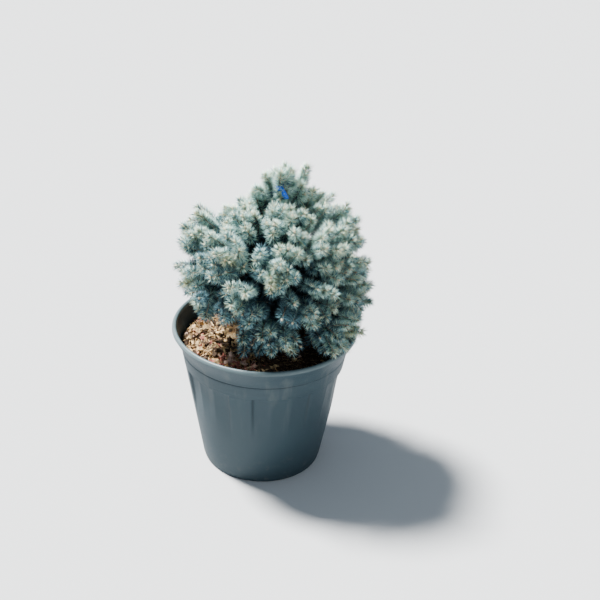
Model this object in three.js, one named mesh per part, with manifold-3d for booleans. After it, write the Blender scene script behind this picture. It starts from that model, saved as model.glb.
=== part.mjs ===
// A dwarf blue spruce in a round nursery pot, in millimetres, +Z up.
// The origin is the middle of the pot's flat underside. The photograph is taken from the -Y side.
import * as THREE from "three";
import { mergeVertices } from "three/addons/utils/BufferGeometryUtils.js";
import Module from "manifold-3d";

const wasm = await Module();
wasm.setup();
const lerp = THREE.MathUtils.lerp;
const range = (count) => Array.from({ length: count }, (_, index) => index);

// Clearance between pieces that meet.
const GAP = 0.3;
const DEGREE = Math.PI / 180;

// The pot: a tapering shell that flares to its lip, with six sunk panels of three flat faces each.
const POT = {
  height: 312,
  rimRadius: 190,
  footRadius: 125,
  footRound: 4,
  wall: 4,
  floor: 6,
  lipInnerRadius: 180,
  taper: 54 / 312,
  lipHeight: 7,
  flareFoot: 264,
  midFlareShare: 0.25,
  panels: 6,
  panelMiddle: -74 * DEGREE,
  panelHalfWidth: 22 * DEGREE,
  panelSideStep: 1 * DEGREE,
  panelTop: 232,
  panelFoot: 112,
  panelSunk: 4,
  faceSunk: 1.6,
};

// The potting bark, sunk below the rim and heaped a little towards the trunk.
const SOIL = { edge: 272, crest: 285, crestRadius: 26 };

// The trunk, from its flat cut on the bark to the foot of the leading shoots.
const TRUNK = {
  foot: new THREE.Vector3(-2, 0, SOIL.crest),
  waist: new THREE.Vector3(2, -1, 350),
  footRadius: 19,
  waistRadius: 12.5,
  tipRadius: 4.2,
  flareHeight: 34,
  sides: 9,
  steps: 11,
};

// The crown's rounded outline, and the point that its cells and boughs spread from.
const CROWN = {
  middle: new THREE.Vector3(16, 0, 462),
  radii: new THREE.Vector3(203, 194, 196),
  heart: new THREE.Vector3(8, 0, 425),
  floor: 317,
  boughReach: 76,
  leaderReach: 112,
  cellGap: 0.5,
};

// Each tier of boughs: its rise above level, the height of its lowest root on the trunk, the side shoots
// of its masses, and for each bough the bearing from +X and the share of the outline that it reaches.
const TIERS = [
  {
    name: "low",
    rise: -26,
    root: 322,
    shoots: 5,
    boughs: [[-86, 1.08], [-37, 1.2], [8, 1.14], [64, 1.1], [122, 1.06]],
  },
  {
    name: "wide",
    rise: 3,
    root: 360,
    shoots: 5,
    boughs: [[-156, 0.99], [-108, 0.97], [-62, 1.0], [-14, 0.97], [36, 0.98], [88, 0.96], [146, 0.95]],
  },
  {
    name: "mid",
    rise: 33,
    root: 396,
    shoots: 6,
    boughs: [[-170, 0.99], [-128, 0.95], [-82, 0.93], [-34, 0.95], [14, 0.93], [68, 0.9], [128, 0.8]],
  },
  {
    name: "upper",
    rise: 60,
    root: 440,
    shoots: 5,
    boughs: [[-146, 0.77], [-66, 0.88], [12, 0.86], [100, 0.78]],
  },
];

// The leading mass grows straight from the trunk's tip.
const LEADER = { name: "leader", rise: 80, bearing: 20, shoots: 5, reach: 1.0 };

// A bough's girth at its root and tip, its straight tail, and the height that a tier's roots spread over.
const BOUGH = { rootRadius: 5.2, tipRadius: 3, tail: 26, stagger: 34, sides: 6, steps: 3 };

// How a mass spreads its side shoots: the share of the way to its own edge, the widest angle, the bow of
// a side twig, the share of the stem that they leave from, and how far inside the outline the buds stop.
const SPREAD = { fill: 0.65, most: 23 * DEGREE, bow: 80, firstFoot: 0.05, lastFoot: 0.33, budInset: 5 };

// A shoot: its stem or twig at the root, and the spray on it. Its needles are larger than life, and lean
// from nearly square at the spray's foot to nearly forward at the bud.
const STEM = { radius: 3, corners: 6 };
const TWIG = { radius: 2.6, corners: 3 };
const SPRAY = {
  length: 72,
  bareShare: 0.25,
  coreRadius: 6,
  needle: 27,
  footLean: 68 * DEGREE,
  budLean: 34 * DEGREE,
  twist: 0.25,
  rings: 5,
  sides: 6,
  clear: 1,
};

const COLOURS = {
  pot: { color: 0x5f6f70, roughness: 0.55 },
  soil: { color: 0x6b4a35, roughness: 0.95 },
  bark: { color: 0x6e5640, roughness: 0.9 },
  needles: { color: 0x7d9a97, roughness: 0.7 },
};

// A plain repeatable random source, so that every run grows the same plant.
function seededRandom(seed) {
  let state = seed;
  return () => {
    state = (state * 1664525 + 1013904223) % 4294967296;
    return state / 4294967296;
  };
}

// A closed skin over a stack of rings, with a pole at each end. Where spiked(i, j) is true the vertex
// is the tip of a needle, and the faces beside it fold along their low diagonal.
function skin(startPole, rings, endPole, spiked = () => false) {
  const sides = rings[0].length;
  const points = [startPole, ...rings.flat(), endPole];
  const at = (i, j) => 1 + i * sides + (j % sides);
  const faces = [];
  for (const j of range(sides)) {
    faces.push(0, at(0, j + 1), at(0, j));
    faces.push(points.length - 1, at(rings.length - 1, j), at(rings.length - 1, j + 1));
  }
  for (const i of range(rings.length - 1)) {
    for (const j of range(sides)) {
      const [a, b, c, d] = [at(i, j), at(i, j + 1), at(i + 1, j + 1), at(i + 1, j)];
      if (spiked(i, j) || spiked(i + 1, j + 1)) faces.push(a, b, d, b, c, d);
      else faces.push(a, b, c, a, c, d);
    }
  }
  const geometry = new THREE.BufferGeometry().setFromPoints(points);
  geometry.setIndex(faces);
  return geometry;
}

function toManifold(geometry) {
  const bare = geometry.clone();
  bare.deleteAttribute("normal");
  bare.deleteAttribute("uv");
  const merged = mergeVertices(bare, 1e-4);
  const vertProperties = merged.attributes.position.array;
  const corners = merged.index.array;
  const triVerts = new Uint32Array(
    range(corners.length / 3)
      .map((face) => Array.from(corners.slice(3 * face, 3 * face + 3)))
      .filter(([a, b, c]) => a !== b && b !== c && c !== a)
      .flat(),
  );
  return new wasm.Manifold(new wasm.Mesh({ numProp: 3, vertProperties, triVerts }));
}

function fromManifold(solid) {
  const { vertProperties, triVerts } = solid.getMesh();
  const geometry = new THREE.BufferGeometry();
  geometry.setAttribute("position", new THREE.BufferAttribute(vertProperties, 3));
  geometry.setIndex(outerSkin(vertProperties, triVerts));
  return geometry;
}

// The triangles of the largest closed skin, which leaves out hollows sealed by joining and loose scraps.
function outerSkin(positions, triangles) {
  const leader = range(positions.length / 3);
  const find = (vertex) => {
    while (leader[vertex] !== vertex) vertex = leader[vertex] = leader[leader[vertex]];
    return vertex;
  };
  for (let i = 0; i < triangles.length; i += 3) {
    leader[find(triangles[i + 1])] = find(triangles[i]);
    leader[find(triangles[i + 2])] = find(triangles[i]);
  }
  const skins = new Map();
  for (let i = 0; i < triangles.length; i += 3) {
    const key = find(triangles[i]);
    if (!skins.has(key)) skins.set(key, { volume: 0, faces: [] });
    const corners = [0, 1, 2].map((k) => new THREE.Vector3().fromArray(positions, 3 * triangles[i + k]));
    const found = skins.get(key);
    found.volume += corners[0].dot(corners[1].cross(corners[2])) / 6;
    found.faces.push(triangles[i], triangles[i + 1], triangles[i + 2]);
  }
  return [...skins.values()].sort((a, b) => b.volume - a.volume)[0].faces;
}

function namedMesh(name, geometry, finish) {
  const flat = geometry.index ? geometry.toNonIndexed() : geometry;
  flat.computeVertexNormals();
  const mesh = new THREE.Mesh(flat, new THREE.MeshStandardMaterial({ metalness: 0, ...finish }));
  mesh.name = name;
  return mesh;
}

// Two axes square to a direction, the first also square to a fixed side, so that rings don't twist.
function crossAxes(along, side) {
  const u = new THREE.Vector3().crossVectors(side, along).normalize();
  return [u, new THREE.Vector3().crossVectors(along, u)];
}

function sideOf(curve) {
  const chord = curve.getPoint(1).sub(curve.getPoint(0)).normalize();
  return Math.abs(chord.z) < 0.8 ? new THREE.Vector3(0, 0, 1) : new THREE.Vector3(1, 0, 0);
}

// The unit vector at an angle from axis u towards axis v.
function turned(u, v, angle) {
  return u.clone().multiplyScalar(Math.cos(angle)).addScaledVector(v, Math.sin(angle));
}

function ringAround(curve, t, radius, sides) {
  const centre = curve.getPoint(t);
  const [u, v] = crossAxes(curve.getTangent(t), sideOf(curve));
  return range(sides).map((j) => {
    const out = turned(u, v, (2 * Math.PI * j) / sides);
    return centre.clone().addScaledVector(out, radius);
  });
}

// A tapering limb along a curve. Its radius at t comes from radiusAt(t).
function limb(curve, radiusAt, sides, steps) {
  const rings = range(steps + 1).map((i) => ringAround(curve, i / steps, radiusAt(i / steps), sides));
  return skin(curve.getPoint(0), rings, curve.getPoint(1));
}

// The pot's upright edges by bearing, with the depth that each is sunk to in a panel: the panel's sides,
// its ribs and the middles of its faces, and the middle of the strip between two panels.
const panelPitch = (2 * Math.PI) / POT.panels;
const faceWidth = (2 * POT.panelHalfWidth) / 3;
const halfPanel = [
  { offset: faceWidth / 2, sunk: POT.panelSunk },
  { offset: faceWidth, sunk: POT.panelSunk + POT.faceSunk },
  { offset: POT.panelHalfWidth - POT.panelSideStep, sunk: POT.panelSunk },
  { offset: POT.panelHalfWidth, sunk: 0 },
];
const panelEdges = [
  ...halfPanel.map(({ offset, sunk }) => ({ offset: -offset, sunk })).reverse(),
  { offset: 0, sunk: POT.panelSunk + POT.faceSunk },
  ...halfPanel,
  { offset: panelPitch / 2, sunk: 0 },
];
const potEdges = range(POT.panels).flatMap((panel) =>
  panelEdges.map(({ offset, sunk }) => ({ bearing: POT.panelMiddle + panel * panelPitch + offset, sunk })));

const potWallRadius = (z) => POT.footRadius + POT.taper * z;

// The shell as one skin: across the underside, up the outside, over the lip and down to the inner floor.
// Each row is a radius, a height, and the share of the panels' depth that the row is sunk by.
function potSolid() {
  const { height, rimRadius, lipInnerRadius, lipHeight, panelFoot, panelTop } = POT;
  const midFlare = (height - lipHeight + POT.flareFoot) / 2;
  const rows = [
    [POT.footRadius - POT.footRound, 0, 0],
    [POT.footRadius, POT.footRound, 0],
    [potWallRadius(panelFoot), panelFoot, 0],
    [potWallRadius(panelTop - 1), panelTop - 1, 1],
    [potWallRadius(panelTop + 1), panelTop + 1, 0],
    [potWallRadius(POT.flareFoot), POT.flareFoot, 0],
    [lerp(potWallRadius(midFlare), rimRadius, POT.midFlareShare), midFlare, 0],
    [rimRadius, height - lipHeight, 0],
    [rimRadius - 3, height, 0],
    [lipInnerRadius + 2, height, 0],
    [lipInnerRadius, height - 3, 0],
    ...innerRows.map(([radius, z]) => [radius, z, 0]).reverse(),
  ];
  const rings = rows.map(([radius, z, share]) =>
    potEdges.map(({ bearing, sunk }) => {
      const r = radius - sunk * share;
      return new THREE.Vector3(r * Math.cos(bearing), r * Math.sin(bearing), z);
    }));
  return skin(new THREE.Vector3(0, 0, 0), rings, new THREE.Vector3(0, 0, POT.floor));
}

// The inside of the pot from its floor up. Behind the panels it steps in, so the wall keeps its thickness.
const wallBehindPanels = POT.wall + POT.panelSunk + POT.faceSunk;
const innerRows = [
  [POT.footRadius - wallBehindPanels, POT.floor],
  [potWallRadius(POT.panelTop) - wallBehindPanels, POT.panelTop],
  [potWallRadius(SOIL.edge - 12) - POT.wall, SOIL.edge - 12],
  [POT.lipInnerRadius - 2, POT.height - 12],
];

function potInnerRadius(z) {
  const upper = innerRows.findIndex(([, rowZ]) => rowZ >= z);
  const [[r0, z0], [r1, z1]] = [innerRows[Math.max(0, upper - 1)], innerRows[Math.max(1, upper)]];
  return lerp(r0, r1, (z - z0) / (z1 - z0));
}

// The bark fills the pot. Its skirt stands on the pot's own bearings, so it follows the pot's flats.
function soilSolid() {
  const clear = GAP / Math.cos(faceWidth / 2);
  const foot = POT.floor + GAP;
  const rows = [
    [potInnerRadius(foot) - 2 * clear, foot],
    [potInnerRadius(POT.panelTop) - 2 * clear, POT.panelTop],
    [potInnerRadius(SOIL.edge) - 2 * clear, SOIL.edge],
    [lerp(SOIL.crestRadius, potInnerRadius(SOIL.edge), 0.55), lerp(SOIL.edge, SOIL.crest, 0.6)],
    [SOIL.crestRadius, SOIL.crest],
  ];
  const rings = rows.map(([radius, z]) =>
    potEdges
      .filter((edge, index) => index % 2 === 0)
      .map(({ bearing }) => new THREE.Vector3(radius * Math.cos(bearing), radius * Math.sin(bearing), z)));
  return skin(new THREE.Vector3(0, 0, foot), rings, new THREE.Vector3(0, 0, SOIL.crest));
}

// Unit vector for a bearing from +X and a rise above level, in degrees.
function heading(bearing, rise) {
  const level = Math.cos(rise * DEGREE);
  return new THREE.Vector3(
    level * Math.cos(bearing * DEGREE), level * Math.sin(bearing * DEGREE), Math.sin(rise * DEGREE));
}

const masses = TIERS.flatMap((tier) =>
  tier.boughs.map(([bearing, reach], index) => ({
    name: `${tier.name}_${index + 1}`,
    axis: heading(bearing, tier.rise),
    reach,
    sideShoots: tier.shoots,
    start: CROWN.boughReach,
    rootHeight: tier.root + (BOUGH.stagger * ((3 * index) % tier.boughs.length)) / tier.boughs.length,
  })),
);
const leader = {
  name: LEADER.name,
  axis: heading(LEADER.bearing, LEADER.rise),
  reach: LEADER.reach,
  sideShoots: LEADER.shoots,
  start: CROWN.leaderReach,
};
masses.push(leader);
masses.forEach((mass, index) => (mass.seed = 101 + 37 * index));

// The planes that wall in a mass's own space: one between it and each other mass, and the crown's floor.
function wallsOf(mass) {
  const walls = masses
    .filter((other) => other !== mass)
    .map((other) => {
      const normal = mass.axis.clone().sub(other.axis).normalize();
      return { normal, offset: normal.dot(CROWN.heart) + CROWN.cellGap };
    });
  walls.push({ normal: new THREE.Vector3(0, 0, 1), offset: CROWN.floor });
  return walls;
}

// The share of the way from a point inside the walls to another point that stays inside them.
function shareInside(from, to, walls) {
  let share = 1;
  for (const { normal, offset } of walls) {
    const a = normal.dot(from) - offset;
    const b = normal.dot(to) - offset;
    if (b < 0) share = Math.min(share, Math.max(0, a / (a - b)));
  }
  return share;
}

// Distance from the crown's heart to its rounded outline along a direction.
function outlineReach(direction) {
  const from = CROWN.heart.clone().sub(CROWN.middle).divide(CROWN.radii);
  const step = direction.clone().divide(CROWN.radii);
  const a = step.dot(step);
  const b = from.dot(step);
  const c = from.dot(from) - 1;
  return (-b + Math.sqrt(b * b - a * c)) / a;
}

const fromHeart = (direction, distance) => CROWN.heart.clone().addScaledVector(direction, distance);

// The trunk leans a little towards its leading shoot.
const trunkCurve = new THREE.CatmullRomCurve3([
  TRUNK.foot.clone().setZ(SOIL.crest + GAP),
  TRUNK.waist,
  CROWN.heart,
  fromHeart(leader.axis, CROWN.leaderReach - GAP),
]);
const trunkTop = trunkCurve.getPoint(1).z;

function trunkRadius(t) {
  const z = trunkCurve.getPoint(t).z;
  const flare = Math.max(0, 1 - (z - SOIL.crest) / TRUNK.flareHeight);
  const taper = (z - SOIL.crest) / (trunkTop - SOIL.crest);
  const spread = TRUNK.footRadius - TRUNK.waistRadius;
  return lerp(TRUNK.waistRadius, TRUNK.tipRadius, taper) + spread * flare * flare;
}

// The trunk's rings, with its foot cut flat and level on the bark.
function trunkSolid(extra = 0) {
  const rings = range(TRUNK.steps + 1).map((i) => {
    const t = i / TRUNK.steps;
    const ring = ringAround(trunkCurve, t, trunkRadius(t) + extra, TRUNK.sides);
    if (i === 0) ring.forEach((point) => (point.z = SOIL.crest + GAP));
    return ring;
  });
  return skin(trunkCurve.getPoint(0), rings, trunkCurve.getPoint(1));
}

// The trunk's middle at a height.
function trunkMiddle(z) {
  let [low, high] = [0, 1];
  for (const _ of range(24)) {
    const t = (low + high) / 2;
    if (trunkCurve.getPoint(t).z < z) low = t;
    else high = t;
  }
  return trunkCurve.getPoint(low);
}

// Each bough leaves the trunk a little above level and bends to the line of its mass.
function boughCurve(mass) {
  const root = trunkMiddle(mass.rootHeight);
  const tip = fromHeart(mass.axis, mass.start - GAP);
  const middle = root.clone().lerp(tip, 0.5);
  middle.z = lerp(root.z, tip.z, 0.35);
  const tail = fromHeart(mass.axis, mass.start - GAP - BOUGH.tail);
  return new THREE.CubicBezierCurve3(root, middle, tail, tip);
}

const boughTaper = (t) => lerp(BOUGH.rootRadius, BOUGH.tipRadius, Math.pow(t, 0.7));

const trunkWithGap = toManifold(trunkSolid(GAP));

function boughSolid(mass) {
  const whole = toManifold(limb(boughCurve(mass), boughTaper, BOUGH.sides, BOUGH.steps));
  return fromManifold(whole.subtract(trunkWithGap));
}

// Planes halfway between a point of one shoot and the nearest points of the shoots beside it.
function wallsBeside(centre, neighbours) {
  return neighbours.map((points) => {
    const nearest = points.reduce((a, b) => (a.distanceTo(centre) < b.distanceTo(centre) ? a : b));
    const normal = centre.clone().sub(nearest).normalize();
    return { normal, offset: normal.dot(centre.clone().lerp(nearest, 0.5)) + SPRAY.clear };
  });
}

// One ring of a spray: every other point is the tip of a needle, the rest lie on the core. A needle stops
// short where it would leave the mass's own space or cross the shoot beside it.
function sprayRing(curve, t, along, index, random, walls, neighbours) {
  const centre = curve.getPoint(t);
  const forward = curve.getTangent(t);
  const [u, v] = crossAxes(forward, sideOf(curve));
  const plumpness = Math.sin(Math.PI * lerp(0.18, 0.86, along));
  const core = SPRAY.coreRadius * lerp(0.45, 1, plumpness);
  const lean = lerp(SPRAY.footLean, SPRAY.budLean, along);
  const bounds = [...walls, ...wallsBeside(centre, neighbours)];
  return range(SPRAY.sides).map((j) => {
    const out = turned(u, v, (2 * Math.PI * j) / SPRAY.sides + SPRAY.twist * index);
    const foot = centre.clone().addScaledVector(out, core);
    const needle = SPRAY.needle * lerp(0.62, 1, plumpness) * lerp(0.9, 1.08, random());
    if (!isNeedle(index, j)) return foot;
    const tip = foot.clone().addScaledVector(turned(forward, out, lean), needle);
    return foot.lerp(tip, shareInside(foot, tip, bounds));
  });
}

// The first ring of a spray is bare, so that its needles don't web back along the twig.
const isNeedle = (ring, j) => ring > 0 && (ring + j) % 2 === 1;

// A shoot: a bare stem or twig, then a spray whose needles stand out of a slim core, closed by its bud.
function shootSolid(curve, limbRoot, random, walls, neighbours) {
  const sprayStart = Math.max(SPRAY.bareShare, 1 - SPRAY.length / curve.getLength());
  const root = ringAround(curve, 0, limbRoot.radius, limbRoot.corners);
  const repeats = SPRAY.sides / limbRoot.corners;
  const rings = [root.flatMap((corner) => range(repeats).map(() => corner.clone()))];
  for (const i of range(SPRAY.rings)) {
    const along = i / (SPRAY.rings - 1);
    rings.push(sprayRing(curve, lerp(sprayStart, 0.97, along), along, i, random, walls, neighbours));
  }
  return skin(curve.getPoint(0), rings, curve.getPoint(1), (i, j) => isNeedle(i - 1, j));
}

// The directions of a mass's side shoots, set round its own axis. Each goes a set share of the way to the
// mass's edge on that side, so that a wide mass spreads wide.
function sideDirections(mass, random, walls) {
  const side = Math.abs(mass.axis.z) < 0.8 ? new THREE.Vector3(0, 0, 1) : new THREE.Vector3(1, 0, 0);
  const [u, v] = crossAxes(mass.axis, side);
  const turn = random() * Math.PI;
  const reach = outlineReach(mass.axis) * mass.reach;
  return range(mass.sideShoots).map((k) => {
    const angle = turn + (2 * Math.PI * (k + 0.3 * (random() - 0.5))) / mass.sideShoots;
    const tilt = (SPREAD.most / SPREAD.fill) * lerp(0.85, 1, random());
    const from = fromHeart(mass.axis, reach);
    const to = fromHeart(turned(mass.axis, turned(u, v, angle), tilt), reach);
    return from.lerp(to, SPREAD.fill * shareInside(from, to, walls)).sub(CROWN.heart).normalize();
  });
}

// One mass: the leading shoot carries the side shoots, whose roots are sunk in its stem.
function massSolid(mass) {
  const random = seededRandom(mass.seed);
  const walls = wallsOf(mass);
  const aside = sideDirections(mass, random, walls);
  const budAt = (direction, share) => {
    const bud = fromHeart(direction, outlineReach(direction) * mass.reach * share - SPREAD.budInset);
    return bud.setZ(Math.max(bud.z, CROWN.floor + SPRAY.coreRadius + SPREAD.budInset));
  };
  const stemFoot = fromHeart(mass.axis, mass.start);
  const stemBud = budAt(mass.axis, 1);
  const stem = new THREE.QuadraticBezierCurve3(stemFoot, stemFoot.clone().lerp(stemBud, 0.5), stemBud);
  const twigs = aside.map((direction, k) => {
    const bud = budAt(direction, lerp(0.9, 1, random()));
    const foot = stem.getPoint(lerp(SPREAD.firstFoot, SPREAD.lastFoot, k / (aside.length - 1)));
    // The twig leaves outwards, then its tip turns to follow the mass.
    const knee = foot.clone().lerp(bud, 0.55).addScaledVector(direction.clone().sub(mass.axis), SPREAD.bow);
    return new THREE.QuadraticBezierCurve3(foot, knee, bud);
  });
  const curves = [stem, ...twigs];
  const pointsAlong = curves.map((curve) => curve.getPoints(64));
  const shoots = curves.map((curve, k) => {
    const neighbours = pointsAlong.filter((_, other) => other !== k);
    return toManifold(shootSolid(curve, k === 0 ? STEM : TWIG, random, walls, neighbours));
  });
  return fromManifold(shoots.reduce((joined, shoot) => joined.add(shoot)));
}

const plant = new THREE.Group();
plant.add(namedMesh("pot", potSolid(), COLOURS.pot));
plant.add(namedMesh("soil", soilSolid(), COLOURS.soil));
plant.add(namedMesh("trunk", trunkSolid(), COLOURS.bark));

for (const mass of masses) {
  if (mass !== leader) plant.add(namedMesh(`bough_${mass.name}`, boughSolid(mass), COLOURS.bark));
  plant.add(namedMesh(`foliage_${mass.name}`, massSolid(mass), COLOURS.needles));
}

export default plant;
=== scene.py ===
"""A dwarf globe blue spruce in its nursery pot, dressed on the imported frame."""

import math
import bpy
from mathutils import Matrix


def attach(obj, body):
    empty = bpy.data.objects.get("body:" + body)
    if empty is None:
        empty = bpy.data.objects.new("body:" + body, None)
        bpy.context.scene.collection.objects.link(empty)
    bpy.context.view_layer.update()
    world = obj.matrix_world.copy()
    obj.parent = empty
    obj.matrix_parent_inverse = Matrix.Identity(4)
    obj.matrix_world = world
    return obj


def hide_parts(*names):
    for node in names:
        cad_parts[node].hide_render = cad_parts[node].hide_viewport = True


bl_info = {
    "name": "Potted blue spruce",
    "version": (1, 0, 0),
    "blender": (4, 5, 0),
    "location": "3D Viewport > Sidebar > Spruce",
    "description": "Pot, bark, limbs, needles and studio of a potted blue spruce",
    "category": "Add Mesh",
}

import bpy
import numpy as np
from bpy.props import FloatProperty, FloatVectorProperty, IntProperty, PointerProperty
from bpy.types import Operator, Panel, PropertyGroup
from mathutils import Matrix, Vector

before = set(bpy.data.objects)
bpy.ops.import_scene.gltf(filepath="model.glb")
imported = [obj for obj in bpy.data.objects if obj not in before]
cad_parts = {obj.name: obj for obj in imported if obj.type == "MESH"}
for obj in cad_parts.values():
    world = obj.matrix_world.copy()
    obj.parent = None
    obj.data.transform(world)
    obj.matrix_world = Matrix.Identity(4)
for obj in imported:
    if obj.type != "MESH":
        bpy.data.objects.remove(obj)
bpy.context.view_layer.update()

MM = 0.001
TURN = 2 * math.pi
GOLDEN_ANGLE = math.radians(137.508)
UPWARDS = np.array((0.0, 0.0, 1.0))

# The pot, as its solid has it: radii and heights in metres, bearings in degrees.
POT_HEIGHT = 312 * MM
RIM_RADIUS = 190 * MM
FOOT_RADIUS = 125 * MM
FOOT_ROUNDING = 4 * MM
WALL_TAPER = 54 / 312
LIP_INNER_RADIUS = 180 * MM
LIP_FOOT = 305 * MM
FLARE_FOOT = 264 * MM
PANEL_PITCH = 60
PANEL_MIDDLE = -74
PANEL_HALF_WIDTH = 22
PANEL_EDGE = 1.4
PANEL_TOP = 232 * MM
PANEL_FOOT = 112 * MM
INNER_SETBACK = 9.6 * MM
POT_FLOOR = 6 * MM

# The bark in the pot. Chips and fallen needles keep inside the wall.
BARK_EDGE = 272 * MM
BARK_CREST = 285 * MM
BARK_CREST_RADIUS = 26 * MM
BARK_SLOPE = 150 * MM
BARK_RADIUS = 170.5 * MM
BED_DEPTH = 3 * MM
BED_FLOOR = 7 * MM
CHIP_RADIUS = 164.5 * MM
CHIP_TIP_RADIUS = 168.5 * MM
CHIP_JAG = 7.5 * MM
LITTER_RADIUS = 152 * MM
LITTER_WIDTH = 1.2 * MM

# The trunk, from the bark to the foot of the leading shoot.
TRUNK_FOOT = np.array((-2, 0, 285)) * MM
TRUNK_WAIST = np.array((2, -1, 350)) * MM
TRUNK_FOOT_RADIUS = 19 * MM
TRUNK_WAIST_RADIUS = 12.5 * MM
TRUNK_TIP_RADIUS = 4.2 * MM
FLARE_HEIGHT = 34 * MM
JOINT_GAP = 0.3 * MM

# The crown's rounded outline, and the heart that its shoots point away from.
CROWN_MIDDLE = np.array((16, 0, 462)) * MM
CROWN_RADII = np.array((203, 194, 196)) * MM
HEART = np.array((8, 0, 425)) * MM
CROWN_FLOOR = 317 * MM
BOUGH_REACH = 76 * MM
LEADER_REACH = 112 * MM
LEADER_BEARING = 20
LEADER_RISE = 80

# Each tier of boughs: its rise above level, the height of its roots, side shoots to a mass, and for each
# bough its bearing from +X in degrees and its share of the outline's reach.
TIERS = [
    ("low", -26, 322, 5,
     [(-86, 1.08), (-37, 1.2), (8, 1.14), (64, 1.1), (122, 1.06)]),
    ("wide", 3, 360, 5,
     [(-156, 0.99), (-108, 0.97), (-62, 1.0), (-14, 0.97), (36, 0.98), (88, 0.96), (146, 0.95)]),
    ("mid", 33, 396, 6,
     [(-170, 0.99), (-128, 0.95), (-82, 0.93), (-34, 0.95), (14, 0.93), (68, 0.9), (128, 0.8)]),
    ("upper", 60, 440, 5,
     [(-146, 0.77), (-66, 0.88), (12, 0.86), (100, 0.78)]),
]
ROOT_STAGGER = 34
BOUGH_ROOT_RADIUS = 5.2 * MM
BOUGH_TIP_RADIUS = 3 * MM
BOUGH_TAIL = 26 * MM

# How the shoots of one mass spread.
SPREAD_FILL = 0.65
SPREAD_MOST = math.radians(23)
TWIG_BOW = 80 * MM
BUD_INSET = 5 * MM
WALL_INSET = 10 * MM
SHORTEST_TWIG = 15 * MM
INNER_SHOOTS = 9
LEADER_DENSITY = 1.7
# The leader's tip is forked: how far each of its shoots reaches against the rule.
LEADER_TIPS = (0.92, 1.055, 0.93, 1, 1.09, 1)

# The kinds of shoot, and for each its radius at the foot in millimetres and its share bare of needles.
LEADING, SIDE, FINER, SHADED = range(4)
SHOOT_RADIUS = (3.0, 2.2, 1.4, 1.4)
BARE_SHARE = (0.2, 0.12, 0.05, 0.1)
SHOOT_TIP_RADIUS = 0.8 * MM
OLD_BARK, YOUNG_BARK = range(2)

# Needle tints, and what share of a spray's needles has which tint, by the spray's own tint.
NEEDLE_TINTS = ("frost", "silver", "blue", "grey", "deep", "yellow", "cream")
FROST, SILVER, BLUE, GREY, DEEP, YELLOW, CREAM = range(7)
SPRAY_MIX = {
    FROST: ((FROST, 0.58), (SILVER, 0.20), (BLUE, 0.10), (GREY, 0.12)),
    SILVER: ((SILVER, 0.30), (FROST, 0.38), (BLUE, 0.18), (GREY, 0.14)),
    BLUE: ((BLUE, 0.38), (SILVER, 0.24), (FROST, 0.12), (GREY, 0.26)),
    GREY: ((GREY, 0.52), (BLUE, 0.34), (DEEP, 0.14)),
    DEEP: ((DEEP, 0.72), (GREY, 0.28)),
    YELLOW: ((YELLOW, 0.6), (CREAM, 0.15), (SILVER, 0.25)),
}
# How near the crown's outline a spray's bud has to be to be grey, and to be brighter than grey: sprays deeper
# in are painted grey and deep as shade.
GREY_DEPTH, BRIGHT_DEPTH = 0.74, 0.84

# The marker tape: where its knot lies, and how it goes round its shoot.
TAPE_KNOT = np.array((20.9, -22.5, 616)) * MM
TAPE_PLACE = 0.7
TAPE_LOOP = 7 * MM
TAPE_TURNS = 1.05
TAPE_LOOP_POINTS = 26
TAPE_THICKNESS = 0.5 * MM

# The camera, fitted to the ellipses of the pot's rim and foot.
CAMERA_PLACE = (0.0692, -1.8909, 1.4159)
CAMERA_PITCH = math.radians(28.96)
CAMERA_ROLL = math.radians(2.65)
CAMERA_LENS = 64.1

FLOOR_REACH = 40
ROOM_COLOUR = (0.70, 0.84, 1.0, 1)
BACKDROP_COLOUR = (0.985, 0.99, 1.0, 1)
BACKDROP_STRENGTH = 1.78


def blend(a, b, share):
    return a + (b - a) * share


def unit(vector):
    """A vector at a length of one, or each row of an array."""
    return vector / np.linalg.norm(vector, axis=-1, keepdims=True)


def ease(share):
    share = np.clip(share, 0, 1)
    return share * share * (3 - 2 * share)


def toned(colour, factor):
    """A colour made darker or lighter by a factor."""
    return tuple(min(1, channel * factor) for channel in colour)


def columns(*parts):
    """An array with these parts as its columns. A number fills its whole column."""
    return np.stack(np.broadcast_arrays(*parts), axis=-1)


def around_axis(radius, bearing, height):
    """Points at a radius and a bearing from the pot's axis, and at a height."""
    return columns(radius * np.cos(bearing), radius * np.sin(bearing), height)


def leant(direction, aside, angle):
    """A direction leant by an angle towards another that is square to it, or rows of them."""
    angle = np.asarray(angle)[..., None]
    return direction * np.cos(angle) + aside * np.sin(angle)


# Node trees


class Socket:
    """An output of a node. Maths written on it adds the nodes that work it out."""

    def __init__(self, graph, output):
        self.graph = graph
        self.output = output

    def maths(self, operation, first, second):
        return self.graph.node("ShaderNodeMath", {0: first, 1: second}, operation=operation)

    def __add__(self, other):
        return self.maths("ADD", self, other)

    def __mul__(self, other):
        return self.maths("MULTIPLY", self, other)

    def __sub__(self, other):
        return self.maths("SUBTRACT", self, other)

    def __rsub__(self, other):
        return self.maths("SUBTRACT", other, self)

    __radd__ = __add__
    __rmul__ = __mul__


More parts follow.
